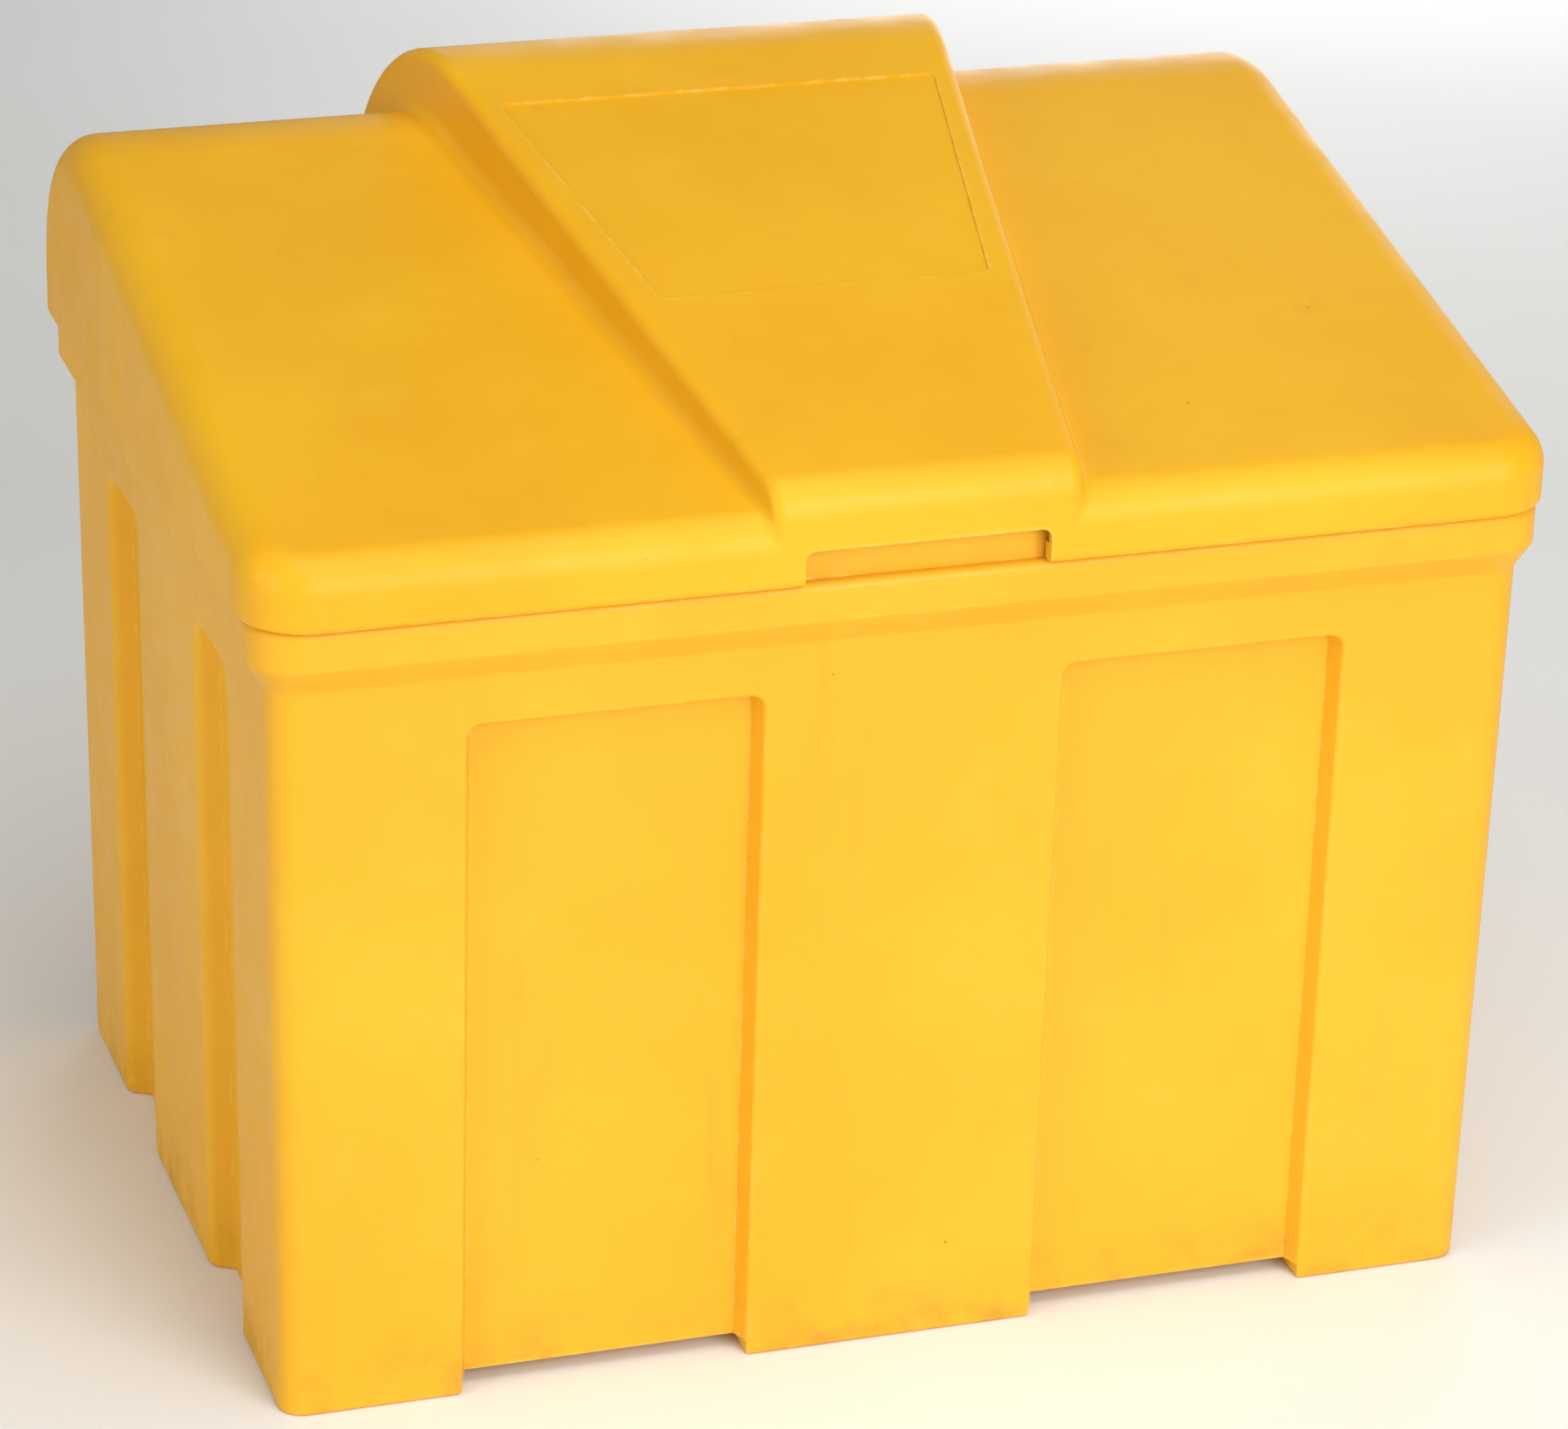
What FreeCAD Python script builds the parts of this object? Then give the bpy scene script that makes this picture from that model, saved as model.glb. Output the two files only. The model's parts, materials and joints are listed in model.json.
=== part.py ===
import FreeCAD, Part

import math
import os

import Sketcher

# Grit bin: a single-skin polyethylene tub with a hinged, sloping lid.
# Millimetres, +Z up, front towards -Y.  The origin is on the ground, under the
# middle of the tub, on the sole of the centre foot.

V = FreeCAD.Vector

# Driving dimensions: alias, value, what it is.
SIZES = [
    ("rim_width", 786.0, "outside width of the rim band"),
    ("rim_depth", 574.0, "outside depth of the rim band"),
    ("rim_height", 507.0, "ground to the ledge that the lid rests on"),
    ("tub_wall", 5.0, "skin of the tub"),
    ("lid_wall", 5.0, "skin of the lid"),
    ("draft", 0.6, "draft of the tub walls, degrees"),
    ("tub_corner", 15.0, "plan radius of the tub's corners at the ground"),
    ("band_rise", 24.0, "height of the vertical rim band"),
    ("flare_rise", 16.0, "height of the flare below the band"),
    ("flare_out", 10.0, "how far the flare stands out from the wall"),
    ("band_round", 5.0, "rounding of the band's upper edge"),
    ("upstand_inset", 8.0, "ledge width, band to upstand"),
    ("upstand_rise", 25.0, "height of the upstand above the ledge"),
    ("seat_margin", 6.0, "hinge seat beyond the leaf on each side"),
    ("foot_rise", 10.0, "how far the base is raised between the feet"),
    ("sole_round", 3.0, "rounding of the feet's lower edges"),
    ("panel_inner", 91.0, "centre line to a panel's inner edge"),
    ("panel_outer", 269.0, "centre line to a panel's outer edge"),
    ("recess_drop", 30.0, "foot of the flare to the top of the panels and side channels"),
    ("panel_sunk", 12.6, "depth of the front and back panels"),
    ("panel_slant", 21.5, "slope of a panel's edges, degrees"),
    ("panel_round", 9.0, "corner radius of a panel"),
    ("channel_place", 122.0, "centre line to the middle of a side channel"),
    ("channel_width", 84.0, "width of a side channel at the wall"),
    ("channel_sunk", 14.0, "depth of a side channel"),
    ("channel_slant", 28.0, "slope of a channel's edges, degrees"),
    ("channel_round", 10.0, "rounding of a channel's outer edges"),
    ("channel_corner", 16.0, "corner radius of a side channel"),
    ("panel_edge_round", 3.0, "rounding of a panel's outer edges"),
    ("lid_overhang", 4.5, "how far the lid stands out past the band"),
    ("lid_gap", 0.3, "gap between the lid's edge and the ledge"),
    ("lid_slope", 12.0, "slope of the lid's top, degrees"),
    ("lid_front_rise", 40.2, "ledge to the lid's front corner line"),
    ("lid_front_round", 24.0, "rounding of the lid's front, side and back edges"),
    ("ridge_round", 105.0, "rounding of the ridge along the back"),
    ("lid_front_corner", 40.0, "plan radius of the lid's front corners"),
    ("lid_foot_round", 4.0, "rounding of the lid's lower edge"),
    ("bead_width", 10.0, "thickness of the lid's edge bead"),
    ("bead_rise", 11.0, "height of the lid's edge bead"),
    ("hump_slope", 14.5, "slope of the raised band's top, degrees"),
    ("hump_lift", 40.0, "height of the raised band above the ridge"),
    ("hump_front_half", 92.0, "half width of the raised band at the front"),
    ("hump_splay", 10.0, "splay of the raised band's sides in plan, degrees"),
    ("hump_side_draft", 4.0, "draft of the raised band's sides, degrees"),
    ("hump_round", 8.0, "rounding of the raised band's side edges"),
    ("hump_set", 0.2, "how far the raised band's front is behind the lid's"),
    ("hump_proud", 0.6, "how far the raised band's back stands out from the lid's"),
    ("hump_blend", 7.0, "fillet between the raised band and the lid"),
    ("notch_width", 149.0, "width of the hand notch"),
    ("notch_rise", 22.0, "ledge to the top of the hand notch"),
    ("notch_round", 6.0, "corner radius of the hand notch"),
    ("label_back_half", 142.0, "half width of the label recess at its back"),
    ("label_front_half", 103.0, "half width of the label recess at its front"),
    ("label_back", 121.0, "centre line to the back of the label recess"),
    ("label_front", 96.0, "centre line to the front of the label recess"),
    ("label_sunk", 1.2, "depth of the label recess"),
    ("label_round", 6.0, "corner radius of the label recess"),
    ("hinge_clear", 10.2, "raised band's back corner to the near end of a hinge"),
    ("leaf_length", 100.0, "length of a hinge leaf along the axis"),
    ("leaf_thick", 2.5, "thickness of a hinge leaf"),
    ("leaf_reach", 34.0, "hinge axis to a leaf's far edge"),
    ("knuckle_radius", 6.5, "outside radius of a knuckle"),
    ("knuckle_span", 84.0, "length of the five knuckles together"),
    ("knuckle_gap", 0.6, "gap between neighbouring knuckles"),
    ("pin_radius", 4.0, "radius of the hinge pin"),
    ("pin_clearance", 0.08, "radial clearance of the pin in its knuckles"),
    ("ear_thick", 2.5, "thickness of a stop ear"),
    ("ear_reach", 17.0, "how far a stop ear reaches behind the axis"),
    ("open_angle", 105.0, "how far the lid opens, degrees"),
    ("bolt_radius", 3.0, "radius of a hinge bolt"),
    ("bolt_clearance", 0.3, "radial clearance of a bolt in its hole"),
    ("bolt_pitch", 34.0, "distance between neighbouring bolts"),
    ("bolt_drop", 23.0, "hinge axis to a row of bolts"),
    ("plate_thick", 2.0, "thickness of a backing plate"),
    ("plate_height", 19.0, "height of a backing plate"),
    ("head_radius", 7.5, "radius of a bolt's cup head"),
    ("head_rise", 3.2, "height of a bolt's cup head"),
    ("washer_radius", 6.0, "outside radius of a washer"),
    ("washer_thick", 1.6, "thickness of a washer"),
    ("nut_flats", 10.0, "width of a nut across its flats"),
    ("nut_rise", 5.5, "height of a nut"),
    ("bolt_tip", 2.2, "how far a bolt stands out of its nut"),
    ("clip_radius", 6.2, "outside radius of a pin clip"),
    ("clip_thick", 1.2, "thickness of a pin clip"),
    ("fit_gap", 0.1, "gap that keeps loose pieces apart"),
]


def column_of_sizes(document):
    """Write the driving dimensions into a spreadsheet, one per row."""
    page = document.addObject("Spreadsheet::Sheet", "Sizes")
    for row, (alias, value, meaning) in enumerate(SIZES, start=1):
        page.set("A%d" % row, meaning)
        page.set("B%d" % row, str(value))
        page.setAlias("B%d" % row, alias)
    document.recompute()
    return page


doc = FreeCAD.newDocument("grit_bin")
sheet = column_of_sizes(doc)

# Lengths that follow from the driving dimensions, as expressions over the sheet.
HALF_BAND_X = "(Sizes.rim_width / 2)"
HALF_BAND_Y = "(Sizes.rim_depth / 2)"
HALF_WALL_X = "(Sizes.rim_width / 2 - Sizes.flare_out)"
HALF_WALL_Y = "(Sizes.rim_depth / 2 - Sizes.flare_out)"
BAND_FOOT = "(Sizes.rim_height - Sizes.band_rise)"
FLARE_FOOT = "(Sizes.rim_height - Sizes.band_rise - Sizes.flare_rise)"
RECESS_TOP = "(" + FLARE_FOOT + " - Sizes.recess_drop)"
DRAFT_RUN = "(" + FLARE_FOOT + " * tan(Sizes.draft * 1 deg))"
HALF_BASE_X = "(" + HALF_WALL_X + " - " + DRAFT_RUN + ")"
HALF_BASE_Y = "(" + HALF_WALL_Y + " - " + DRAFT_RUN + ")"
FLARE_ANGLE = "(atan(Sizes.flare_out / Sizes.flare_rise) / 1 deg)"
FLOOR_TOP = "(Sizes.foot_rise + Sizes.tub_wall)"
UPSTAND_TOP = "(Sizes.rim_height + Sizes.upstand_rise)"
HALF_UPSTAND_X = "(" + HALF_BAND_X + " - Sizes.upstand_inset)"
HALF_UPSTAND_Y = "(" + HALF_BAND_Y + " - Sizes.upstand_inset)"
HALF_LID_X = "(" + HALF_BAND_X + " + Sizes.lid_overhang)"
HALF_LID_Y = "(" + HALF_BAND_Y + " + Sizes.lid_overhang)"
LID_FOOT = "(Sizes.rim_height + Sizes.lid_gap)"
BEAD_TOP = "(" + LID_FOOT + " + Sizes.bead_rise)"
LID_PITCH = "tan(Sizes.lid_slope * 1 deg)"
HUMP_PITCH = "tan(Sizes.hump_slope * 1 deg)"
RIDGE_Y = "(" + HALF_LID_Y + " - Sizes.ridge_round)"
RIDGE_RUN = "(" + RIDGE_Y + " + " + HALF_LID_Y + ")"
RIDGE_LINE_Z = "(Sizes.rim_height + Sizes.lid_front_rise + " + RIDGE_RUN + " * " + LID_PITCH + ")"
RIDGE_Z = "(" + RIDGE_LINE_Z + " - Sizes.ridge_round / cos(Sizes.lid_slope * 1 deg))"
HUMP_LINE_Z = "(" + RIDGE_Z + " + Sizes.hump_lift + Sizes.ridge_round / cos(Sizes.hump_slope * 1 deg))"
HUMP_BACK_HALF = "(Sizes.hump_front_half + 2 * " + HALF_LID_Y + " * tan(Sizes.hump_splay * 1 deg))"
HINGE_PLACE = "(" + HUMP_BACK_HALF + " + Sizes.hinge_clear + Sizes.leaf_length / 2)"
AXIS_Y = "(" + HALF_LID_Y + " + Sizes.knuckle_radius)"
AXIS_Z = "Sizes.rim_height"
SEAT_TOP = "(Sizes.rim_height - Sizes.seat_margin)"
SEAT_FOOT = "(Sizes.rim_height - Sizes.leaf_reach - Sizes.seat_margin)"


def number(expression):
    """The value that an expression over the sheet has now."""
    return float(sheet.evalExpression(expression))


def new_body(name):
    """An empty PartDesign body."""
    return doc.addObject("PartDesign::Body", name)


def origin_plane(body, role):
    """One of a body's own origin planes."""
    planes = [part for part in body.Origin.OriginFeatures if part.Role == role]
    return planes[0]


def new_sketch(body, name, role, out=None, lean=None):
    """A sketch on an origin plane, moved out along its normal and leant about its X axis."""
    sketch = body.newObject("Sketcher::SketchObject", name)
    sketch.AttachmentSupport = [(origin_plane(body, role), "")]
    sketch.MapMode = "FlatFace"
    if lean is not None:
        turn = FreeCAD.Rotation(V(1, 0, 0), number(lean))
        sketch.AttachmentOffset = FreeCAD.Placement(V(0, 0, 0), turn)
        sketch.setExpression(".AttachmentOffset.Rotation.Angle", lean + " * 1 deg")
    if out is not None:
        sketch.setExpression(".AttachmentOffset.Base.z", out)
    return sketch


def place_point(sketch, line, end, across, up):
    """Hold one end of a line at a signed place, given as two expressions."""
    for kind, expression in (("DistanceX", across), ("DistanceY", up)):
        value = number(expression)
        if value < 0:
            rule = Sketcher.Constraint(kind, line, end, -1, 1, -value)
            expression = "-(" + expression + ")"
        else:
            rule = Sketcher.Constraint(kind, -1, 1, line, end, value)
        index = sketch.addConstraint(rule)
        sketch.setExpression("Constraints[%d]" % index, expression)


def draw_outline(sketch, corners):
    """A closed polygon whose corners are pairs of expressions."""
    points = [V(number(across), number(up), 0) for across, up in corners]
    first = sketch.GeometryCount
    count = len(points)
    for index in range(count):
        line = Part.LineSegment(points[index], points[(index + 1) % count])
        sketch.addGeometry(line, False)
    for index in range(count):
        following = first + (index + 1) % count
        sketch.addConstraint(Sketcher.Constraint("Coincident", first + index, 2, following, 1))
    for index, (across, up) in enumerate(corners):
        place_point(sketch, first + index, 1, across, up)


def draw_rounded(sketch, left, right, low, high, radius):
    """A rectangle with equal rounded corners, its sides given as expressions."""
    x_low, x_high = number(left), number(right)
    y_low, y_high = number(low), number(high)
    r = number(radius)
    quarter = math.pi / 2
    centres = [
        (x_high - r, y_low + r), (x_high - r, y_high - r),
        (x_low + r, y_high - r), (x_low + r, y_low + r),
    ]
    sides = [
        (V(x_low + r, y_low, 0), V(x_high - r, y_low, 0)),
        (V(x_high, y_low + r, 0), V(x_high, y_high - r, 0)),
        (V(x_high - r, y_high, 0), V(x_low + r, y_high, 0)),
        (V(x_low, y_high - r, 0), V(x_low, y_low + r, 0)),
    ]
    first = sketch.GeometryCount
    for index in range(4):
        sketch.addGeometry(Part.LineSegment(*sides[index]), False)
        circle = Part.Circle(V(*centres[index], 0), V(0, 0, 1), r)
        start = (index - 1) * quarter
        sketch.addGeometry(Part.ArcOfCircle(circle, start, start + quarter), False)
    for index in range(8):
        following = first + (index + 1) % 8
        sketch.addConstraint(Sketcher.Constraint("Tangent", first + index, 2, following, 1))
    for index, kind in enumerate(("Horizontal", "Vertical", "Horizontal", "Vertical")):
        sketch.addConstraint(Sketcher.Constraint(kind, first + 2 * index))
    for arc in (3, 5, 7):
        sketch.addConstraint(Sketcher.Constraint("Equal", first + 1, first + arc))
    index = sketch.addConstraint(Sketcher.Constraint("Radius", first + 1, r))
    sketch.setExpression("Constraints[%d]" % index, radius)
    limits = (("DistanceY", 0, low), ("DistanceX", 2, right), ("DistanceY", 4, high), ("DistanceX", 6, left))
    for kind, side, expression in limits:
        value = number(expression)
        if value < 0:
            rule = Sketcher.Constraint(kind, first + side, 1, -1, 1, -value)
            expression = "-(" + expression + ")"
        else:
            rule = Sketcher.Constraint(kind, -1, 1, first + side, 1, value)
        index = sketch.addConstraint(rule)
        sketch.setExpression("Constraints[%d]" % index, expression)


def draw_circle(sketch, across, up, radius):
    """A circle whose centre and radius are expressions; across and up are None at the origin."""
    centre = V(number(across), number(up), 0) if across else V(0, 0, 0)
    index = sketch.addGeometry(Part.Circle(centre, V(0, 0, 1), number(radius)), False)
    if across:
        place_point(sketch, index, 3, across, up)
    else:
        sketch.addConstraint(Sketcher.Constraint("Coincident", index, 3, -1, 1))
    rule = sketch.addConstraint(Sketcher.Constraint("Radius", index, number(radius)))
    sketch.setExpression("Constraints[%d]" % rule, radius)


def swept(body, kind, name, sketch, length, taper=None, backwards=False, midplane=False):
    """A Pad or Pocket of a sketch, with an optional taper in degrees."""
    feature = body.newObject("PartDesign::" + kind, name)
    feature.Profile = sketch
    feature.setExpression("Length", length)
    if taper is not None:
        feature.setExpression("TaperAngle", taper)
    feature.Reversed = backwards
    feature.Midplane = midplane
    sketch.Visibility = False
    doc.recompute()
    return feature


def edges_where(shape, wanted):
    """Names of the edges of a shape that pass a test."""
    return ["Edge%d" % (index + 1) for index, edge in enumerate(shape.Edges) if wanted(edge)]


def rounded(body, name, wanted, radius):
    """A PartDesign fillet on the tip's edges that pass a test."""
    base = body.Tip
    names = edges_where(base.Shape, wanted)
    feature = body.newObject("PartDesign::Fillet", name)
    feature.Base = (base, names)
    feature.setExpression("Radius", radius)
    doc.recompute()
    return feature


def mirrored(body, name, originals, role):
    """A mirror of features across one of the body's origin planes."""
    feature = body.newObject("PartDesign::Mirrored", name)
    feature.Originals = originals
    feature.MirrorPlane = (origin_plane(body, role), [""])
    body.Tip = feature
    doc.recompute()
    return feature


def level(edge, height):
    """Whether an edge lies flat at a height."""
    box = edge.BoundBox
    return abs(box.ZMin - height) < 0.01 and abs(box.ZMax - height) < 0.01


# ---------------------------------------------------------------- tub

def ring(body, name, kind, out, half_x, half_y, radius, length, taper=None, backwards=False):
    """One storey of the tub or its hollow: a rounded rectangle padded or pocketed."""
    sketch = new_sketch(body, name + "_outline", "XY_Plane", out)
    draw_rounded(sketch, "-" + half_x, half_x, "-" + half_y, half_y, radius)
    return swept(body, kind, name, sketch, length, taper, backwards)


def less_wall(expression):
    """An outside length less the tub's skin."""
    return "(" + expression + " - Sizes.tub_wall)"


def build_tub_walls(body):
    """Outside of the tub: drafted walls, flare, rim band and upstand."""
    ring(body, "walls", "Pad", None, HALF_BASE_X, HALF_BASE_Y, "Sizes.tub_corner", FLARE_FOOT, "Sizes.draft")
    corner = "(Sizes.tub_corner + " + DRAFT_RUN + ")"
    ring(body, "flare", "Pad", FLARE_FOOT, HALF_WALL_X, HALF_WALL_Y, corner, "Sizes.flare_rise", FLARE_ANGLE)
    corner = "(Sizes.tub_corner + " + DRAFT_RUN + " + Sizes.flare_out)"
    ring(body, "band", "Pad", BAND_FOOT, HALF_BAND_X, HALF_BAND_Y, corner, "Sizes.band_rise")
    corner = "(" + corner + " - Sizes.upstand_inset)"
    rise = "Sizes.upstand_rise"
    ring(body, "upstand", "Pad", "Sizes.rim_height", HALF_UPSTAND_X, HALF_UPSTAND_Y, corner, rise)
    outer_top = number("Sizes.rim_height")
    outer_foot = number(BAND_FOOT)
    neck = number(FLARE_FOOT)
    reach_x = number(HALF_BAND_X) - 0.01
    reach_y = number(HALF_BAND_Y) - 0.01

    def on_band(edge):
        box = edge.BoundBox
        return max(box.XMax, -box.XMin) > reach_x or max(box.YMax, -box.YMin) > reach_y

    rounded(body, "band_top_round", lambda e: level(e, outer_top) and on_band(e), "Sizes.band_round")
    rounded(body, "band_foot_round", lambda e: level(e, outer_foot), "Sizes.band_round")
    rounded(body, "neck_round", lambda e: level(e, neck), "Sizes.band_round")


def build_hinge_seats(body):
    """Two bosses on the back that bring the tub leaves level with the lid's back."""
    sketch = new_sketch(body, "seat_outline", "XZ_Plane", "-" + HALF_LID_Y)
    for side in ("-", ""):
        near = side + "(" + HINGE_PLACE + " - Sizes.leaf_length / 2 - Sizes.seat_margin)"
        far = side + "(" + HINGE_PLACE + " + Sizes.leaf_length / 2 + Sizes.seat_margin)"
        left, right = (far, near) if side else (near, far)
        draw_rounded(sketch, left, right, SEAT_FOOT, SEAT_TOP, "Sizes.seat_margin")
    depth = "(" + HALF_LID_Y + " - " + HALF_WALL_Y + " + Sizes.tub_wall / 2)"
    swept(body, "Pad", "hinge_seats", sketch, depth)


def build_tub_hollow(body):
    """Inside of the tub, from the mouth down to the floor."""
    corner = "(Sizes.tub_corner + " + DRAFT_RUN + " + Sizes.flare_out - Sizes.tub_wall)"
    mouth_x = less_wall(HALF_UPSTAND_X)
    mouth_y = less_wall(HALF_UPSTAND_Y)
    mouth_corner = "(" + corner + " - Sizes.upstand_inset)"
    depth = "(Sizes.upstand_rise + Sizes.tub_wall)"
    ring(body, "mouth", "Pocket", UPSTAND_TOP, mouth_x, mouth_y, mouth_corner, depth)
    under_ledge = "(Sizes.rim_height - Sizes.tub_wall)"
    band_x = less_wall(HALF_BAND_X)
    band_y = less_wall(HALF_BAND_Y)
    depth = "(Sizes.band_rise - Sizes.tub_wall)"
    ring(body, "band_hollow", "Pocket", under_ledge, band_x, band_y, corner, depth)
    depth = "Sizes.flare_rise"
    ring(body, "flare_hollow", "Pocket", BAND_FOOT, band_x, band_y, corner, depth, "-" + FLARE_ANGLE)
    corner = "(Sizes.tub_corner + " + DRAFT_RUN + " - Sizes.tub_wall)"
    depth = "(" + FLARE_FOOT + " - " + FLOOR_TOP + ")"
    ring(
        body, "wall_hollow", "Pocket", FLARE_FOOT, less_wall(HALF_WALL_X), less_wall(HALF_WALL_Y), corner,
        depth, "-Sizes.draft",
    )
    sketch = new_sketch(body, "foot_hollow_outline", "XY_Plane", FLOOR_TOP)
    reach_x = less_wall(HALF_BASE_X)
    reach_y = less_wall(HALF_BASE_Y)
    inner = less_wall("Sizes.panel_inner")
    outer = "(Sizes.panel_outer + Sizes.tub_wall)"
    for left, right in (("-" + reach_x, "-" + outer), ("-" + inner, inner), (outer, reach_x)):
        draw_rounded(sketch, left, right, "-" + reach_y, reach_y, "Sizes.foot_rise / 2")
    swept(body, "Pocket", "foot_hollows", sketch, "Sizes.foot_rise")
    seat_floor = "(" + SEAT_FOOT + " + Sizes.tub_wall)"
    sketch = new_sketch(body, "seat_hollow_outline", "XZ_Plane", "-" + less_wall(HALF_LID_Y))
    for side in ("-", ""):
        near = side + "(" + HINGE_PLACE + " - Sizes.leaf_length / 2)"
        far = side + "(" + HINGE_PLACE + " + Sizes.leaf_length / 2)"
        left, right = (far, near) if side else (near, far)
        draw_rounded(sketch, left, right, seat_floor, under_ledge, "Sizes.seat_margin / 2")
    depth = "(" + HALF_LID_Y + " - " + HALF_WALL_Y + " + Sizes.tub_wall)"
    swept(body, "Pocket", "seat_hollows", sketch, depth, backwards=True)


def round_recess_edges(body, name, wall_out, along_wall, across, size):
    """Round the mouths of the recesses in one pair of opposite walls.

    wall_out is the wall's outside at the ground, along_wall picks an edge's
    distances from the wall's own plane, and across its distances from the middle.
    """
    outside = number(wall_out)
    tallest = number(RECESS_TOP)
    shortest = tallest / 2

    def on_mouth(edge):
        box = edge.BoundBox
        out = max(abs(value) for value in along_wall(box))
        leaning = box.ZMax * math.tan(math.radians(number("Sizes.draft")))
        on_wall = abs(out - outside - leaning) < 0.05
        upright = box.ZLength > shortest and max(across(box)) - min(across(box)) < 0.05
        return on_wall and upright and abs(box.ZMax) < tallest

    rounded(body, name, on_mouth, size)


def build_recesses(body):
    """Front and back panels and side channels, each with a full skin behind it."""
    below = "-(2 * Sizes.foot_rise)"
    wall_place = {"XZ_Plane": HALF_BASE_Y, "YZ_Plane": HALF_BASE_X}
    near = "(Sizes.channel_place - Sizes.channel_width / 2)"
    far = "(Sizes.channel_place + Sizes.channel_width / 2)"
    spans = {
        "XZ_Plane": (
            ("-Sizes.panel_outer", "-Sizes.panel_inner"),
            ("Sizes.panel_inner", "Sizes.panel_outer"),
        ),
        "YZ_Plane": (("-" + far, "-" + near), (near, far)),
    }
    kinds = (
        ("panel", "XZ_Plane", "Sizes.panel_sunk", "Sizes.panel_slant", "Sizes.panel_round"),
        ("channel", "YZ_Plane", "Sizes.channel_sunk", "Sizes.channel_slant", "Sizes.channel_corner"),
    )
    for name, role, sunk, slant, corner in kinds:
        for stage, grow, sweep_kind in (("skin", "Sizes.tub_wall", "Pad"), ("recess", "0", "Pocket")):
            sketch = new_sketch(body, name + "_" + stage + "_outline", role, wall_place[role], "Sizes.draft")
            for left, right in spans[role]:
                draw_rounded(
                    sketch, "(" + left + " - " + grow + ")", "(" + right + " + " + grow + ")", below,
                    "(" + RECESS_TOP + " + " + grow + ")", "(" + corner + " + " + grow + ")",
                )
            depth = "(" + sunk + " + " + grow + ")"
            backwards = sweep_kind == "Pad"
            feature = swept(body, sweep_kind, name + "_" + stage, sketch, depth, "-" + slant, backwards)
            mirrored(body, name + "_" + stage + "_opposite", [feature], role)


def build_base(body):
    """Trim the soles flat, round the recesses' mouths and raise the base between the feet."""
    sketch = new_sketch(body, "sole_trim_outline", "XY_Plane")
    reach = "Sizes.rim_width"
    spans = (
        ("-" + reach, reach),
        ("-Sizes.panel_outer", "-Sizes.panel_inner"),
        ("Sizes.panel_inner", "Sizes.panel_outer"),
    )
    outlines = [
        [(left, "-" + reach), (right, "-" + reach), (right, reach), (left, reach)]
        for left, right in spans
    ]
    draw_outline(sketch, outlines[0])
    swept(body, "Pocket", "sole_trim", sketch, "4 * Sizes.foot_rise")
    round_recess_edges(
        body, "channel_edges", HALF_BASE_X,
        lambda box: (box.XMin, box.XMax), lambda box: (box.YMin, box.YMax), "Sizes.channel_round",
    )
    round_recess_edges(
        body, "panel_edges", HALF_BASE_Y,
        lambda box: (box.YMin, box.YMax), lambda box: (box.XMin, box.XMax), "Sizes.panel_edge_round",
    )
    sketch = new_sketch(body, "base_channel_outline", "XY_Plane")
    for outline in outlines[1:]:
        draw_outline(sketch, outline)
    swept(body, "Pocket", "base_channels", sketch, "Sizes.foot_rise", backwards=True)
    rounded(body, "sole_edges", lambda e: level(e, 0), "Sizes.sole_round")


def drill_hinge_holes(body, drop):
    """Bolt holes through the back, one row a drop above the hinge axis."""
    sketch = new_sketch(body, "bolt_hole_circles", "XZ_Plane", "-" + HALF_LID_Y)
    for side in ("-", ""):
        for step in ("-Sizes.bolt_pitch", "0 * Sizes.bolt_pitch", "Sizes.bolt_pitch"):
            across = "(" + side + HINGE_PLACE + " + " + step + ")"
            height = "(" + AXIS_Z + " + " + drop + ")"
            draw_circle(sketch, across, height, "(Sizes.bolt_radius + Sizes.bolt_clearance)")
    swept(body, "Pocket", "bolt_holes", sketch, "2 * Sizes.tub_wall", backwards=True)


def build_tub():
    """The whole tub."""
    body = new_body("tub")
    build_tub_walls(body)
    build_hinge_seats(body)
    build_tub_hollow(body)
    build_recesses(body)
    build_base(body)
    drill_hinge_holes(body, "-Sizes.bolt_drop")
    return body


# ---------------------------------------------------------------- lid

def side_profile(body, name, line_z, pitch, slope, inset, front_set, back_proud, foot):
    """A block under a sloping top line, its ridge and front edge rounded.

    line_z is the height of the top line above the ridge's centre line.  The
    front face is front_set behind the lid's, and the back face back_proud of it.
    """
    sketch = new_sketch(body, name + "_side", "YZ_Plane")
    front = "(" + HALF_LID_Y + " - " + inset + " - " + front_set + ")"
    back = "(" + HALF_LID_Y + " - " + inset + " + " + back_proud + ")"
    lowered = "(" + line_z + " - " + inset + " / cos(" + slope + " * 1 deg))"
    front_top = "(" + lowered + " - (" + front + " + " + RIDGE_Y + ") * " + pitch + ")"
    back_top = "(" + lowered + " + (" + back + " - " + RIDGE_Y + ") * " + pitch + ")"
    corners = [("-" + front, foot), (back, foot), (back, back_top), ("-" + front, front_top)]
    draw_outline(sketch, corners)
    width = "(2 * (" + HALF_LID_X + " - " + inset + "))"
    swept(body, "Pad", name + "_block", sketch, width, midplane=True)
    back_z = number(back_top)
    rounded(body, name + "_ridge", lambda e: level(e, back_z), "(Sizes.ridge_round - " + inset + ")")
    return number(front_top)


def round_front(body, name, front_z, inset):
    """Round the front top edge and every edge that runs on smoothly from it."""
    rounded(body, name + "_front", lambda e: level(e, front_z), "(Sizes.lid_front_round - " + inset + ")")


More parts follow.
